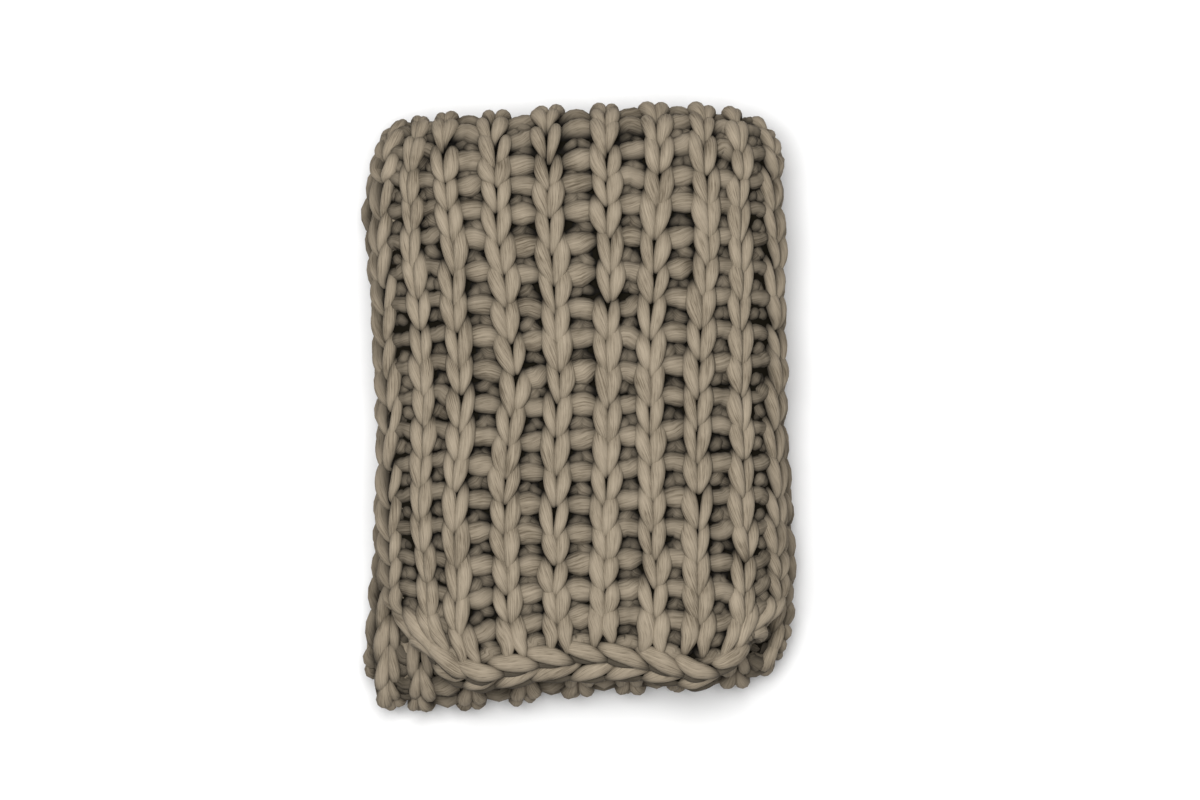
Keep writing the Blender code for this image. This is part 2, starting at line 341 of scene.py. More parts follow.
def clothPoint(u, v, rise):
    # u across the whole cloth, v along it, and how far the point lies above its middle surface
    across, du = stretchAt(acrossPath, acrossStart, u)
    along, dv = stretchAt(alongPath, alongStart, v)
    (x, height), (faceX, faceUp) = acrossPath[across][1](du)
    (y, z), (faceY, faceZ) = alongPath[along][1](dv)
    share = dv / alongPath[along][0]
    if across == "topThird" and along in ("top", "farFold"):
        fade = 1.0 if along == "top" else 1.0 - smooth(share)
        x += ribShift(x, y) * fade
    if along == "top":
        y += chainEdgePull(x, height, dv)
        x *= 1.0 - cloth["gather"] * (1.0 - smooth(dv / cloth["gatherReach"]))
        lean = cloth["cornerGather"] * clamp(abs(x) / cloth["cornerX"], 0.0, cloth["mostOut"]) ** 3
        x -= math.copysign(lean * (1.0 - smooth(dv / cloth["cornerReach"])), x)
    height += faceUp * rise
    x += faceX * rise
    y += faceY * height
    z += faceZ * height
    left, right = stripSides(along, share, y)
    part = (x - cloth["leftSideX"]) / (cloth["rightSideX"] - cloth["leftSideX"])
    x = blend(left, right, part)
    out = (abs(x) - cloth["slumpFromX"]) / (cloth["slumpToX"] - cloth["slumpFromX"])
    z *= 1.0 - cloth["slump"] * clamp(out, 0.0, cloth["mostOut"]) ** 2
    if along != "top":
        y += nearEndPull(x, y)
    y += farEndPull(x, y)
    x, y = roundedCorner(x, y, left if x < 0 else right)
    return x + cloth["toOriginX"], y + cloth["toOriginY"], z


# The stitches. One rib is a V column and half of the sunk column on each side of it.
stitch = {
    "seed": 11,
    "row": 0.0318,  # from one V to the next, on the outer side
    "firstRow": 0.0258,
    "rowStep": 0.0005,
    "lastRowRoom": 0.55,  # in rows: the least room between a row and the far chain edge
    "lastRowIn": 1.05,  # in rows: how far in the last row then lies
    "lastRowsShown": 3,
    "pastFarFold": 0.03,  # how far onto the middle panel the top's stitches run on
    "beforeNearFold": 0.40,  # where on that panel the near fold's stitches begin
    "liftOutside": 0.0245,  # how far the outer cloth lies from the strip's middle
    "vReach": 0.0235,  # half a full rib, where the V's own sizes hold
    "slimmer": 0.4,  # how much a narrow V column thins its legs
    "columnDrift": 0.0072,
    "driftSwing": 0.5,
    "driftWave": 0.55,
    "rowDrift": 0.0030,
    "sizeSpread": 0.17,
    "barSpread": 0.15,
    "lumpSpread": 0.20,
    "lumpShift": 0.0022,
    "lumpHeight": 0.0022,
    "lastLegs": 1.14,  # the legs next to the chain edge are fuller
    "endFrom": 0.50,  # where a row ends, its yarn stops here, under the V
    "legFrom": 0.55,  # from here to lumpTo, shares of the way across a half rib
    "footFrom": 0.6,
    "footEase": (0.7, 0.9),
    "sunkEase": (0.1, 0.6),
    "vEase": (0.3, 0.7),
    "fatEase": (0.0, 0.4),
    "lumpTo": 0.3,
    "barFrom": 0.6,  # in rows: the sunk column's bar lies above this and its lump below
    "legSpread": 0.0024,
    "footSpread": 0.0066,
    "rightRibs": 7,
    "nearRows": 11,
    "leftRibs": 7,
    "leftFoldRibs": (-0.012, 0.0236),
    "rightFoldRibs": (0.015, 0.045),
    "selvedgeRib": 0.029,  # past the last full rib, where the edge curls round
    "selvedge": 0.004,
    "heightShift": -0.0025,
    "floor": 0.0004,
    # painted shade: lowerShade darkens the colour of the layers under the top one
    "lowerShade": 0.0014,  # the layers under the top one lie in its shade
    "shadeReach": 0.05,
    "overlap": 0.93,  # where two pieces share a stitch, one of the two yarns is thinned to this share
    "steps": 2,
    "hiddenSteps": 1,
    "sides": 12,
    "hiddenSides": 10,
}

# half of one rib, from the middle of the sunk column to the middle of the V
halfRib = (
    # share of the way across, rows up, height, yarn radius
    (0.00, 0.79, 0.0006, 0.0112),
    (0.27, 0.78, -0.0006, 0.0106),
    (0.47, 0.70, -0.0080, 0.0062),
    (0.27, 0.50, -0.0118, 0.0050),
    (0.06, 0.29, -0.0012, 0.0062),
    (0.24, 0.19, -0.0016, 0.0060),
    (0.44, 0.14, -0.0085, 0.0050),
    (0.72, 0.08, -0.0085, 0.0050),
    (0.90, -0.14, -0.0050, 0.0036),
    (0.910, -0.28, 0.0030, 0.0026),
    (0.875, -0.20, 0.0082, 0.0036),
    (0.815, 0.00, 0.0104, 0.0054),
    (0.730, 0.25, 0.0108, 0.0070),
    (0.670, 0.51, 0.0096, 0.0077),
    (0.630, 0.76, 0.0070, 0.0072),
    (0.620, 0.96, 0.0028, 0.0058),
    (0.640, 1.11, -0.0030, 0.0048),
    (0.800, 1.20, -0.0075, 0.0046),
    (1.000, 1.21, -0.0090, 0.0046),
)


def ribCentres():
    # every V column across the cloth, as its distance from the first selvedge
    leftLength = acrossPath["leftThird"][0]
    rightLength = acrossPath["rightThird"][0]
    count = stitch["leftRibs"]
    centres = [(n + 0.5) * leftLength / count for n in range(count - 1)]
    centres += [acrossStart["leftFold"] + place for place in stitch["leftFoldRibs"]]
    for rib in ribsOnTop:
        centres.append(acrossStart["topThird"] + sum(rib) / len(rib) - cloth["leftFoldX"])
    centres += [acrossStart["rightFold"] + place for place in stitch["rightFoldRibs"]]
    count = stitch["rightRibs"]
    centres += [acrossStart["rightThird"] + (n + 0.5) * rightLength / count for n in range(count)]
    centres.append(centres[-1] + stitch["selvedgeRib"])
    return centres


def rowPlaces():
    # every row along the cloth; round a fold the outer side is longer, so rows come closer together
    foldRadius = {"farFold": cloth["farFoldRadius"], "nearFold": cloth["nearFoldRadius"]}
    step = stitch["rowStep"]
    places = []
    v = stitch["firstRow"]
    while v < clothLength - stitch["row"] * stitch["lastRowRoom"]:
        places.append(v)
        left = stitch["row"]
        while left > 0:
            radius = foldRadius.get(stretchAt(alongPath, alongStart, v)[0])
            left -= step if radius is None else step * (radius + stitch["liftOutside"]) / radius
            v += step
    places[-1] = clothLength - stitch["row"] * stitch["lastRowIn"]
    return places


ribs = ribCentres()
rows = rowPlaces()
firstTopRib = stitch["leftRibs"] + 1
lastTopRib = firstTopRib + len(ribsOnTop) - 1
flatSize = f"{clothWidth:.3f} x {clothLength:.3f} m"
print(len(ribs), "ribs and", len(rows), "rows over", flatSize)


def ribShows(rib, row):
    # stitches are made where the folded cloth can be seen, and at its edges
    along, dv = stretchAt(alongPath, alongStart, rows[row])
    if row >= len(rows) - stitch["lastRowsShown"]:
        return rib < len(ribs) - 1
    if rib in (firstTopRib - 2, firstTopRib - 1, lastTopRib + 1, lastTopRib + 2):
        return True
    if rib == len(ribs) - 2:
        return True
    if rib == len(ribs) - 1:
        return along in ("middle", "nearFold", "bottom")
    if firstTopRib <= rib <= lastTopRib:
        return along in ("top", "farFold") or (along == "middle" and dv < stitch["pastFarFold"])
    if rib > lastTopRib:
        return along in ("nearFold", "bottom") or (along == "middle" and dv > stitch["beforeNearFold"])
    return False


def columnDrifts(rng):
    # each V column is knitted a little tighter or looser than the next
    most = stitch["columnDrift"]
    swing = most * stitch["driftSwing"]
    drifts = []
    for _ in ribs:
        phase = rng.uniform(0, 2 * math.pi)
        steady = rng.uniform(-most, most)
        waves = [math.sin(phase + row * stitch["driftWave"]) for row in range(len(rows))]
        drifts.append([steady + swing * wave for wave in waves])
    return drifts


def catmull(points, steps):
    # a smooth line through the points, as an array
    p = np.array(points)
    p = np.vstack([2 * p[0] - p[1], p, 2 * p[-1] - p[-2]])
    out = []
    for n in range(1, len(p) - 2):
        for k in range(steps):
            t = k / steps
            a, b, c, d = p[n - 1], p[n], p[n + 1], p[n + 2]
            out.append(0.5 * (2 * b + (c - a) * t + (2 * a - 5 * b + 4 * c - d) * t * t
                              + (3 * b - a - 3 * c + d) * t * t * t))
    out.append(p[-2])
    return np.array(out)


def ribPoints(rib, row, rng, drifts, ends):
    # the yarn through one rib of one row, as (u, v, height, radius)
    centre = ribs[rib]
    before = (ribs[rib - 1] + centre) / 2 if rib else max(stitch["selvedge"], centre - stitch["vReach"])
    after = (ribs[rib + 1] + centre) / 2 if rib + 1 < len(ribs) else centre + stitch["vReach"]
    v = rows[row] + rng.uniform(-1, 1) * stitch["rowDrift"]
    pitch = (rows[row + 1] if row + 1 < len(rows) else rows[row] + stitch["row"]) - rows[row]
    sway = rng.uniform(-1, 1) * stitch["legSpread"]
    points = []
    for side, edge, table in ((-1, before, halfRib), (1, after, halfRib[-2::-1])):
        half = abs(edge - centre)
        spread = stitch["sizeSpread"]
        tall, fat, wide = (1.0 + rng.uniform(-spread, spread) for _ in range(3))
        fat *= min(1.0, half / stitch["vReach"]) ** stitch["slimmer"]
        bar = (1.0 + rng.uniform(-1, 1) * stitch["barSpread"]) * half / stitch["vReach"]
        lump = 1.0 + rng.uniform(-1, 1) * stitch["lumpSpread"]
        lumpShift = rng.uniform(-1, 1) * stitch["lumpShift"]
        lumpHeight = rng.uniform(-1, 1) * stitch["lumpHeight"]
        for share, up, height, radius in table:
            if side in ends and share < stitch["endFrom"]:
                continue
            own = (1.0 - share) * min(half, stitch["vReach"]) * (wide if share > stitch["legFrom"] else 1.0)
            if row == 0 and share > stitch["footFrom"] and height > 0:
                own += stitch["footSpread"] * ease(share, *stitch["footEase"])
                radius *= stitch["lastLegs"]
            sunk = (1.0 - share) * half
            out = blend(sunk, own, ease(share, *stitch["sunkEase"]))
            onV = ease(share, *stitch["vEase"])
            if up < stitch["barFrom"] and share < stitch["lumpTo"]:
                radius *= lump
                out += lumpShift
                height += lumpHeight
            beside = drifts[max(0, rib + side) % len(ribs)][row]
            drift = blend((drifts[rib][row] + beside) / 2, drifts[rib][row], onV)
            barSize = bar if up > stitch["barFrom"] else 1.0
            points.append((
                centre + side * out + sway * onV,
                v + drift + pitch * (0.5 + (up - 0.5) * tall),
                height + stitch["heightShift"],
                radius * blend(barSize, fat, ease(share, *stitch["fatEase"])),
            ))
    return points


def layStrand(points, steps, face=1.0, raised=0.0):
    # smooths a strand on the flat cloth, then folds it with the cloth; pressed flat on the surface below
    strand = []
    for u, v, height, radius in catmull(points, steps):
        x, y, z = clothPoint(u, v, height)
        above = np.array(clothPoint(u, v, height + cloth["probe"]))
        out = above - (x, y, z)
        out *= face / np.linalg.norm(out)
        # painted shade: how proud the point stands, less on the layers under the top one, for the darker
        # colour between strands
        lower = smooth((v - alongStart["middle"]) / stitch["shadeReach"])
        proud = height * face + raised - stitch["lowerShade"] * lower
        strand.append((x, y, max(z, radius + stitch["floor"]), radius, proud, *out))
    return strand


def slimmer(points):
    return [(u, v, height, radius * stitch["overlap"]) for u, v, height, radius in points]


def knitStrands(wanted, steps):
    # the strands of every row; where a row goes on in another piece, the two overlap a little
    rng = random.Random(stitch["seed"])
    drifts = columnDrifts(rng)
    strands = []
    for row in range(len(rows)):
        shown = [ribShows(rib, row) for rib in range(len(ribs))]
        known = [False] + shown + [False]
        ribRuns = []
        for rib in range(len(ribs)):
            ends = [side for side in (-1, 1) if not known[rib + 1 + side]]
            ribRuns.append(ribPoints(rib, row, rng, drifts, ends))
        mine = [shown[rib] and wanted(rib, row) for rib in range(len(ribs))]
        run = []
        for rib in range(len(ribs)):
            if not mine[rib]:
                continue
            if not run and rib and shown[rib - 1]:
                run += slimmer(ribRuns[rib - 1][-3:-1])
            run += ribRuns[rib][1:] if run else ribRuns[rib]
            if rib + 1 == len(ribs) or not mine[rib + 1]:
                if rib + 1 < len(ribs) and shown[rib + 1]:
                    run += slimmer(ribRuns[rib + 1][1:3])
                strands.append(layStrand(run, steps))
                run = []
    return strands


def setInput(modifier, tree, name, value):
    socket = next(item for item in tree.interface.items_tree if item.name == name)
    modifier[socket.identifier] = value


spinning = {
    # the back of the cloth has less relief, so for the painted shade its depth is read more steeply
    "backSteeper": -2.6,
    "backShift": -0.040,
}


def yarnTree():
    # sweeps a round yarn along every strand, and keeps where each point lies round and along it
    tree = bpy.data.node_groups.new("spinYarn", "GeometryNodeTree")
    face = tree.interface
    face.new_socket("Strands", in_out="INPUT", socket_type="NodeSocketGeometry")
    face.new_socket("Sides", in_out="INPUT", socket_type="NodeSocketInt")
    # painted shade: the least proudness a piece's yarn is given, which limits how dark its colour is
    # painted
    face.new_socket("Least Proud", in_out="INPUT", socket_type="NodeSocketFloat")
    face.new_socket("Material", in_out="INPUT", socket_type="NodeSocketMaterial")
    face.new_socket("Yarn", in_out="OUTPUT", socket_type="NodeSocketGeometry")
    nodes, links = tree.nodes, tree.links
    given = nodes.new("NodeGroupInput")
    result = nodes.new("NodeGroupOutput")

    def node(kind, **settings):
        made = nodes.new(kind)
        for key, value in settings.items():
            setattr(made, key, value)
        return made

    toCurve = node("GeometryNodeMeshToCurve")
    links.new(given.outputs["Strands"], toCurve.inputs["Mesh"])
    along = node("GeometryNodeCaptureAttribute", domain="POINT")
    along.capture_items.new("FLOAT", "Along")
    alongAt = node("GeometryNodeSplineParameter")
    links.new(toCurve.outputs["Curve"], along.inputs["Geometry"])
    links.new(alongAt.outputs["Length"], along.inputs["Along"])

    ring = node("GeometryNodeCurvePrimitiveCircle", mode="RADIUS")
    ring.inputs["Radius"].default_value = 1.0
    links.new(given.outputs["Sides"], ring.inputs["Resolution"])
    ringPlace = node("GeometryNodeInputPosition")
    around = node("GeometryNodeCaptureAttribute", domain="POINT")
    around.capture_items.new("VECTOR", "Round")
    links.new(ring.outputs["Curve"], around.inputs["Geometry"])
    links.new(ringPlace.outputs["Position"], around.inputs["Round"])

    thick = node("GeometryNodeInputNamedAttribute", data_type="FLOAT")
    thick.inputs["Name"].default_value = "yarnRadius"
    sweep = node("GeometryNodeCurveToMesh")
    sweep.inputs["Fill Caps"].default_value = True
    links.new(along.outputs["Geometry"], sweep.inputs["Curve"])
    links.new(around.outputs["Geometry"], sweep.inputs["Profile Curve"])
    links.new(thick.outputs["Attribute"], sweep.inputs["Scale"])

    split = node("ShaderNodeSeparateXYZ")
    join = node("ShaderNodeCombineXYZ")
    links.new(around.outputs["Round"], split.inputs["Vector"])
    links.new(split.outputs["X"], join.inputs["X"])
    links.new(split.outputs["Y"], join.inputs["Y"])
    links.new(along.outputs["Along"], join.inputs["Z"])
    store = node("GeometryNodeStoreNamedAttribute", data_type="FLOAT_VECTOR", domain="POINT")
    store.inputs["Name"].default_value = "strandPlace"
    links.new(sweep.outputs["Mesh"], store.inputs["Geometry"])
    links.new(join.outputs["Vector"], store.inputs["Value"])

    # painted shade: how proud each point stands, which the wool material turns into a darker colour between
    # the strands
    def known(name, kind):
        made = node("GeometryNodeInputNamedAttribute", data_type=kind)
        made.inputs["Name"].default_value = name
        return made.outputs["Attribute"]

    fromStrand = node("ShaderNodeVectorMath", operation="SUBTRACT")
    links.new(node("GeometryNodeInputPosition").outputs["Position"], fromStrand.inputs[0])
    links.new(known("strandAt", "FLOAT_VECTOR"), fromStrand.inputs[1])
    outward = node("ShaderNodeVectorMath", operation="DOT_PRODUCT")
    links.new(fromStrand.outputs["Vector"], outward.inputs[0])
    links.new(known("faceOut", "FLOAT_VECTOR"), outward.inputs[1])
    proud = node("ShaderNodeMath", operation="ADD")
    links.new(outward.outputs["Value"], proud.inputs[0])
    links.new(known("lift", "FLOAT"), proud.inputs[1])
    back = node("ShaderNodeMath", operation="MULTIPLY_ADD")
    links.new(proud.outputs["Value"], back.inputs[0])
    back.inputs[1].default_value = spinning["backSteeper"]
    back.inputs[2].default_value = spinning["backShift"]
    either = node("ShaderNodeMath", operation="MAXIMUM")
    links.new(proud.outputs["Value"], either.inputs[0])
    links.new(back.outputs["Value"], either.inputs[1])
    least = node("ShaderNodeMath", operation="MAXIMUM")
    links.new(either.outputs["Value"], least.inputs[0])
    links.new(given.outputs["Least Proud"], least.inputs[1])
    keep = node("GeometryNodeStoreNamedAttribute", data_type="FLOAT", domain="POINT")
    keep.inputs["Name"].default_value = "proud"
    links.new(store.outputs["Geometry"], keep.inputs["Geometry"])
    links.new(least.outputs["Value"], keep.inputs["Value"])

    soft = node("GeometryNodeSetShadeSmooth")
    whole = node("GeometryNodeRealizeInstances")
    paint = node("GeometryNodeSetMaterial")
    links.new(keep.outputs["Geometry"], soft.inputs["Geometry"])
    links.new(soft.outputs["Geometry"], whole.inputs["Geometry"])
    links.new(whole.outputs["Geometry"], paint.inputs["Geometry"])
    links.new(given.outputs["Material"], paint.inputs["Material"])
    links.new(paint.outputs["Geometry"], result.inputs["Yarn"])
    return tree


wool = {
    "light": (0.300, 0.251, 0.187),
    "mid": (0.222, 0.184, 0.134),
    "dark": (0.108, 0.086, 0.059),
    # web: a near-black colour, painted shade for the layer seen between the stitches
    "web": (0.007, 0.006, 0.004),
    "darkAt": 0.36,
    "midAt": 0.48,
    "lightAt": 0.64,
    "roughness": 0.95,
    "specular": 0.15,
    "streakAround": 6.5,
    "streakAlong": 55.0,
    "streakDetail": 5.0,
    "streakRoughness": 0.62,
    "twist": 28.0,
    "cloudScale": 34.0,
    "cloudDetail": 2.0,
    "cloudShare": 0.35,
    # painted shade: from the deep height to the proud one the colour is darkened, to deepShare of it at the
    # deepest; the shaded values cap it per piece
    "deep": -0.0058,  # where the shade between the strands is fullest
    "proud": 0.0144,  # and where it ends
    "deepShare": 0.022,
    "shaded": -0.0015,  # the deepest shade at the sides, then below, on the chain and at the last edge
    "belowShaded": 0.0020,
    "chainShaded": 0.0012,
    "farShaded": 0.0040,
    "bump": 0.55,
    "bumpDepth": 0.0012,
}


def woolMaterial():
    # felted single yarn: fibres run along the strand with a slight twist, over soft cloudy tones, darkened
    # by painted shade where the strands lie deep
    material = bpy.data.materials.new("wool")
    material.use_nodes = True
    nodes, links = material.node_tree.nodes, material.node_tree.links
    shader = nodes["Principled BSDF"]
    shader.inputs["Roughness"].default_value = wool["roughness"]
    shader.inputs["Specular IOR Level"].default_value = wool["specular"]

    place = nodes.new("ShaderNodeAttribute")
    place.attribute_name = "strandPlace"
    split = nodes.new("ShaderNodeSeparateXYZ")
    links.new(place.outputs["Vector"], split.inputs["Vector"])
    turning = nodes.new("ShaderNodeMath")
    turning.operation = "MULTIPLY"
    turning.inputs[1].default_value = wool["twist"]
    links.new(split.outputs["Z"], turning.inputs[0])
    twisted = nodes.new("ShaderNodeVectorRotate")
    twisted.rotation_type = "Z_AXIS"
    links.new(place.outputs["Vector"], twisted.inputs["Vector"])
    links.new(turning.outputs["Value"], twisted.inputs["Angle"])
    stretched = nodes.new("ShaderNodeVectorMath")
    stretched.operation = "MULTIPLY"
    around, along = wool["streakAround"], wool["streakAlong"]
    stretched.inputs[1].default_value = (around, around, along)
    links.new(twisted.outputs["Vector"], stretched.inputs[0])
    streaks = nodes.new("ShaderNodeTexNoise")
    streaks.inputs["Scale"].default_value = 1.0
    streaks.inputs["Detail"].default_value = wool["streakDetail"]
    streaks.inputs["Roughness"].default_value = wool["streakRoughness"]
    links.new(stretched.outputs["Vector"], streaks.inputs["Vector"])

    where = nodes.new("ShaderNodeTexCoord")
    clouds = nodes.new("ShaderNodeTexNoise")
    clouds.inputs["Scale"].default_value = wool["cloudScale"]
    clouds.inputs["Detail"].default_value = wool["cloudDetail"]
    links.new(where.outputs["Object"], clouds.inputs["Vector"])
    both = nodes.new("ShaderNodeMix")
    both.data_type = "FLOAT"
    both.inputs["Factor"].default_value = wool["cloudShare"]
    links.new(streaks.outputs["Fac"], both.inputs["A"])
    links.new(clouds.outputs["Fac"], both.inputs["B"])
    tones = nodes.new("ShaderNodeValToRGB")
    tones.color_ramp.elements[0].position = wool["darkAt"]
    tones.color_ramp.elements[0].color = (*wool["dark"], 1)
    tones.color_ramp.elements[1].position = wool["lightAt"]
    tones.color_ramp.elements[1].color = (*wool["light"], 1)
    middle = tones.color_ramp.elements.new(wool["midAt"])
    middle.color = (*wool["mid"], 1)
    links.new(both.outputs["Result"], tones.inputs["Fac"])
    # painted shade: the colour is multiplied down where a point stands deep between the strands
    standing = nodes.new("ShaderNodeAttribute")
    standing.attribute_name = "proud"
    depth = nodes.new("ShaderNodeMapRange")
    depth.interpolation_type = "SMOOTHSTEP"
    depth.inputs["From Min"].default_value = wool["deep"]
    depth.inputs["From Max"].default_value = wool["proud"]
    depth.inputs["To Min"].default_value = wool["deepShare"]
    depth.inputs["To Max"].default_value = 1.0
    links.new(standing.outputs["Fac"], depth.inputs["Value"])
    shaded = nodes.new("ShaderNodeMix")
    shaded.data_type = "RGBA"
    shaded.blend_type = "MULTIPLY"
    shaded.inputs["Factor"].default_value = 1.0
    links.new(tones.outputs["Color"], shaded.inputs["A"])
    links.new(depth.outputs["Result"], shaded.inputs["B"])
    links.new(shaded.outputs["Result"], shader.inputs["Base Color"])

    bump = nodes.new("ShaderNodeBump")
    bump.inputs["Strength"].default_value = wool["bump"]
    bump.inputs["Distance"].default_value = wool["bumpDepth"]
    links.new(streaks.outputs["Fac"], bump.inputs["Height"])
    links.new(bump.outputs["Normal"], shader.inputs["Normal"])
    return material


def webMaterial():
    # painted shade: the same wool coloured near black, standing for the deep shade between the stitches
    material = bpy.data.materials.new("paintedShadeWeb")
    material.use_nodes = True
    shader = material.node_tree.nodes["Principled BSDF"]
    shader.inputs["Base Color"].default_value = (*wool["web"], 1)
    shader.inputs["Roughness"].default_value = 1.0
    shader.inputs["Specular IOR Level"].default_value = 0.0
    return material


woolYarn = woolMaterial()
paintedShadeWeb = webMaterial()
spinTree = yarnTree()


def spin(name, strands, sides, leastProud):
    # one piece of yarn swept along its strands
    points, edges = [], []
    for strand in strands:
        first = len(points)
        points += strand
        edges += [(first + n, first + n + 1) for n in range(len(strand) - 1)]
    table = np.array(points)
    lines = bpy.data.meshes.new(name + "Lines")
    lines.from_pydata(table[:, :3].tolist(), edges, [])
    for attribute, column in (("yarnRadius", 3), ("lift", 4)):
        made = lines.attributes.new(attribute, "FLOAT", "POINT")
        made.data.foreach_set("value", table[:, column])
    for attribute, columns in (("strandAt", table[:, :3]), ("faceOut", table[:, 5:8])):
        made = lines.attributes.new(attribute, "FLOAT_VECTOR", "POINT")
        made.data.foreach_set("vector", columns.ravel())
    piece = bpy.data.objects.new(name, lines)
    bpy.context.scene.collection.objects.link(piece)
    modifier = piece.modifiers.new("spin", "NODES")
    modifier.node_group = spinTree
    setInput(modifier, spinTree, "Sides", sides)
    setInput(modifier, spinTree, "Least Proud", leastProud)
    setInput(modifier, spinTree, "Material", woolYarn)
    whole = piece.evaluated_get(bpy.context.evaluated_depsgraph_get())
    mesh = bpy.data.meshes.new_from_object(whole)
    piece.modifiers.clear()
    piece.data = mesh
    mesh.name = name
    for attribute in ("yarnRadius", "lift", "strandAt", "faceOut"):
        if attribute in mesh.attributes:
            mesh.attributes.remove(mesh.attributes[attribute])
    triangles = sum(len(face.vertices) - 2 for face in mesh.polygons)
    print(name, len(strands), "strands", triangles, "triangles")
    return piece


# The chain along the free edges: lens-shaped links like a rope, a thin strand under them, and on the near
# edge the strand that the chain is worked on.
chain = {
    "link": 0.0405,
    "seed": 5,
    "spread": 0.07,
    "liftSpread": 0.0015,
    "selvedge": 0.003,
    "links": (
        # across, towards the cloth, height, yarn radius
        (-0.0290, 0.0195, -0.0070, 0.0022),
        (-0.0235, 0.0182, -0.0010, 0.0046),
        (-0.0150, 0.0155, 0.0044, 0.0074),
        (-0.0050, 0.0124, 0.0066, 0.0088),
        (0.0060, 0.0090, 0.0060, 0.0088),
        (0.0160, 0.0056, 0.0030, 0.0072),
        (0.0240, 0.0030, -0.0020, 0.0046),
        (0.0290, 0.0014, -0.0070, 0.0022),
    ),
    "under": (
        (-0.0220, 0.0080, -0.0080, 0.0036),
        (-0.0110, 0.0040, -0.0060, 0.0048),
        (0.0000, 0.0018, -0.0050, 0.0052),
        (0.0110, 0.0014, -0.0060, 0.0048),
        (0.0220, 0.0040, -0.0080, 0.0036),
    ),
    "base": (
        # share of the way from a sunk column to the V, towards the cloth, height, yarn radius
        (0.00, 0.0240, 0.0000, 0.0082),
        (0.28, 0.0230, -0.0012, 0.0076),
        (0.55, 0.0200, -0.0090, 0.0050),
        (1.00, 0.0180, -0.0110, 0.0046),
    ),
    "baseSpread": 0.0020,
    # painted shade: raised lifts how proud the chain's yarn stands, so its colour is darkened less
    "raised": 0.0015,
    "turnOver": 0.015,
    "secondIn": -0.001,  # how much further in the links on the folded-under thirds sit
    "steps": 3,
    "baseSteps": 2,
    "sides": 12,
    "farSides": 8,
}


def chainFace(u):
    # 1 where the links lie on the cloth's front, -1 on the thirds folded under, where its back shows
    across, du = stretchAt(acrossPath, acrossStart, u)
    into = {"leftThird": acrossPath["leftThird"][0] - du, "rightThird": du}.get(across, 0.0)
    return -1.0 if into > chain["turnOver"] else 1.0


def chainStrands(edge, inward):
    # edge is the free end's place along the cloth, inward the way back into the cloth
    rng = random.Random(chain["seed"] + int(edge))
    count = round(clothWidth / chain["link"])
    pitch = clothWidth / count
    strands = []
    for n in range(count):
        centre = (n + 0.5) * pitch
        size = 1.0 + rng.uniform(-1, 1) * chain["spread"]
        lift = rng.uniform(-1, 1) * chain["liftSpread"]
        face = chainFace(centre) if edge == 0.0 else 1.0
        further = chain["secondIn"] * (1.0 - face) / 2
        for table in (chain["links"], chain["under"]):
            points = []
            for across, up, height, radius in table:
                u = clamp(centre + across * size, chain["selvedge"], clothWidth - chain["selvedge"])
                v = edge + inward * (up + lift + further)
                points.append((u, v, height * face, radius * size))
            strands.append(layStrand(points, chain["steps"], face, chain["raised"]))
    return strands


def chainBase():
    # the strand that the chain is worked on: it shows as a bar in every sunk column
    rng = random.Random(chain["seed"])
    toV, fromV = chain["base"], chain["base"][-2::-1]
    points = []
    for rib in range(firstTopRib - 2, lastTopRib + 3):
        centre = ribs[rib]
        for side, table in ((-1, toV), (1, fromV)):
            half = abs(ribs[rib + side] - centre) / 2
            shift = rng.uniform(-1, 1) * chain["baseSpread"]
            for share, up, height, radius in table:
                points.append((centre + side * (1.0 - share) * half, up + shift, height, radius))
    return [layStrand(points[1:-1], chain["baseSteps"])]


# The thin knitted layer behind the stitches, which closes the gaps between them. Its near-black colour is
# painted shade seen through the gaps.
web = {
    "half": 0.0028,
    "behindOutside": -0.0105,
    "behindFold": -0.0030,
    "easeAcross": 0.030,
    "easeAlong": 0.045,
    "easeFold": 0.008,
    "across": 120,
    "along": 150,
    "edge": 0.004,
    "lowestUnder": 0.002,  # the least height of its lower face, then of its upper one
    "lowestOver": 0.006,
}


def webHeight(u, v):
    # the web lies deep behind the outer stitches and in the middle of the hidden layers
    topStart = acrossStart["topThird"]
    topEnd = acrossStart["rightFold"]
    rightStart = acrossStart["rightThird"]
    reach = web["easeAcross"]
    onTop = smooth((u - topStart) / reach) * smooth((topEnd - u) / reach)
    onRight = smooth((u - rightStart) / reach)
    outside = 1.0 - smooth((v - alongStart["middle"]) / web["easeAlong"])
    below = smooth((v - alongStart["nearFold"] + web["easeAlong"]) / web["easeAlong"])
    onFold = smooth((u - acrossStart["leftFold"]) / web["easeFold"])
    onFold *= smooth((rightStart - u) / web["easeFold"])
    deep = onTop * outside + onRight * below
    return blend(web["behindFold"] * onFold, web["behindOutside"], clamp(deep))


def frontUp(u, v):
    # 1 where the cloth's front faces up, -1 where it faces the floor
    above = clothPoint(u, v, cloth["probe"])[2]
    below = clothPoint(u, v, -cloth["probe"])[2]
    return -1 if above < below else 1


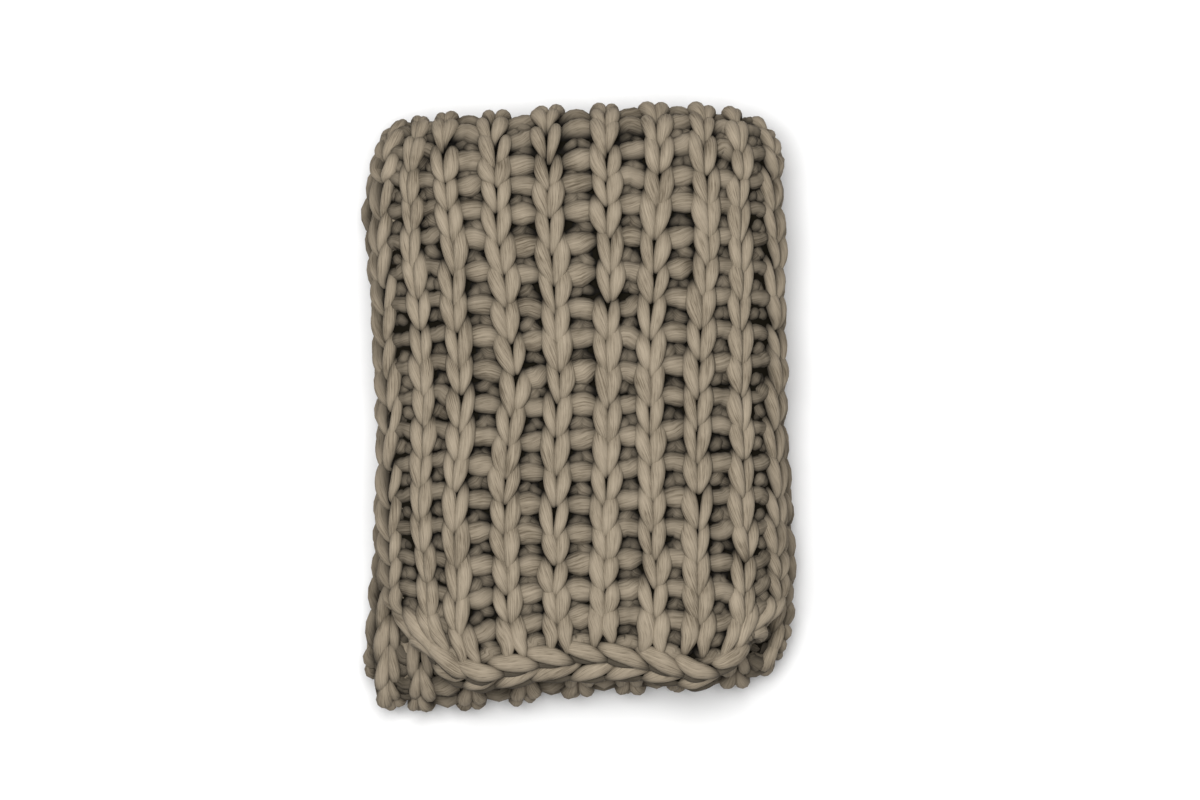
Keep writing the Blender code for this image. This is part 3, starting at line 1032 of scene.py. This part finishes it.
def webSheet():
    mesh = bpy.data.meshes.new("web")
    columns, lines = web["across"], web["along"]
    us = [blend(web["edge"], clothWidth - web["edge"], n / columns) for n in range(columns + 1)]
    vs = [blend(web["edge"], clothLength - web["edge"], n / lines) for n in range(lines + 1)]
    points = []
    for side in (1, -1):
        for v in vs:
            for u in us:
                x, y, z = clothPoint(u, v, webHeight(u, v) + side * web["half"])
                under = side * frontUp(u, v) < 0
                points.append((x, y, max(z, web["lowestUnder"] if under else web["lowestOver"])))
    wide = columns + 1
    whole = wide * (lines + 1)
    faces = []
    for j in range(lines):
        for i in range(columns):
            a = j * wide + i
            b = a + wide
            faces.append((a, a + 1, b + 1, b))
            faces.append((whole + a, whole + b, whole + b + 1, whole + a + 1))
    rim = list(range(wide))
    rim += [j * wide + columns for j in range(1, lines + 1)]
    rim += [lines * wide + i for i in range(columns - 1, -1, -1)]
    rim += [j * wide for j in range(lines - 1, 0, -1)]
    for a, b in zip(rim, rim[1:] + rim[:1]):
        faces.append((b, a, whole + a, whole + b))
    mesh.from_pydata(points, [], faces)
    mesh.materials.append(paintedShadeWeb)
    piece = bpy.data.objects.new("web", mesh)
    bpy.context.scene.collection.objects.link(piece)
    for face in mesh.polygons:
        face.use_smooth = True
    return piece


# which stitches go to which piece
def onShow(rib, row):
    return firstTopRib - 1 <= rib <= lastTopRib + 1 and rows[row] < alongStart["middle"]


def atSides(rib, row):
    beside = rib < firstTopRib or rib in (lastTopRib + 1, lastTopRib + 2)
    return beside and not onShow(rib, row)


def nearHalf(rib, row):
    return onShow(rib, row) and row < stitch["nearRows"]


def farHalf(rib, row):
    return onShow(rib, row) and row >= stitch["nearRows"]


def elsewhere(rib, row):
    return not (onShow(rib, row) or atSides(rib, row))


fine, coarse = stitch["steps"], stitch["hiddenSteps"]
yarn = [
    spin("stitchesNear", knitStrands(nearHalf, fine), stitch["sides"], wool["deep"]),
    spin("stitchesFar", knitStrands(farHalf, fine), stitch["sides"], wool["deep"]),
    spin("stitchesBeside", knitStrands(atSides, coarse), stitch["sides"], wool["shaded"]),
    spin("stitchesBelow", knitStrands(elsewhere, coarse), stitch["hiddenSides"], wool["belowShaded"]),
    spin("chainNear", chainStrands(0.0, 1.0) + chainBase(), chain["sides"], wool["chainShaded"]),
    spin("chainFar", chainStrands(clothLength, -1.0), chain["farSides"], wool["farShaded"]),
]
backing = webSheet()
print("knitted", len(yarn), "pieces and the web")


# The white paper under the blanket, the light and the camera.
studio = {
    "paper": 6.0,
    "paperTone": 0.74,
    "world": 0.20,
    "lampSize": 1.7,
    "lampPlace": (-0.18, 0.30, 4.0),
    "lampPower": 238.0,
    "cameraHeight": 5.0,
    "lens": 146.0,
    "sensor": 36.0,
    "cameraX": 0.0182,
    "cameraY": 0.0034,
}

paperMesh = bpy.data.meshes.new("paper")
reach = studio["paper"] / 2
paperCorners = [(-reach, -reach, 0), (reach, -reach, 0), (reach, reach, 0), (-reach, reach, 0)]
paperMesh.from_pydata(paperCorners, [], [(0, 1, 2, 3)])
paper = bpy.data.objects.new("paper", paperMesh)
bpy.context.scene.collection.objects.link(paper)
paperWhite = bpy.data.materials.new("paperWhite")
paperWhite.use_nodes = True
paperShader = paperWhite.node_tree.nodes["Principled BSDF"]
tone = studio["paperTone"]
paperShader.inputs["Base Color"].default_value = (tone, tone, tone, 1)
paperShader.inputs["Roughness"].default_value = 1.0
paperShader.inputs["Specular IOR Level"].default_value = 0.0
paperMesh.materials.append(paperWhite)

scene = bpy.context.scene
world = bpy.data.worlds.new("studio")
world.use_nodes = True
world.node_tree.nodes["Background"].inputs["Color"].default_value = (1, 1, 1, 1)
world.node_tree.nodes["Background"].inputs["Strength"].default_value = studio["world"]
scene.world = world
scene.view_settings.view_transform = "Standard"

lamp = bpy.data.lights.new("window", "AREA")
lamp.shape = "SQUARE"
lamp.size = studio["lampSize"]
lamp.energy = studio["lampPower"]
lampPlace = bpy.data.objects.new("window", lamp)
lampPlace.location = studio["lampPlace"]
lampPlace.rotation_euler = (-lampPlace.location).to_track_quat("-Z", "Y").to_euler()
scene.collection.objects.link(lampPlace)

lensData = bpy.data.cameras.new("camera")
lensData.sensor_width = studio["sensor"]
lensData.lens = studio["lens"]
camera = bpy.data.objects.new("camera", lensData)
camera.location = (studio["cameraX"], studio["cameraY"], studio["cameraHeight"])
scene.collection.objects.link(camera)
scene.camera = camera
print("studio set")

for piece in yarn + [backing]:
    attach(piece, "root")
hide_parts("blanket")
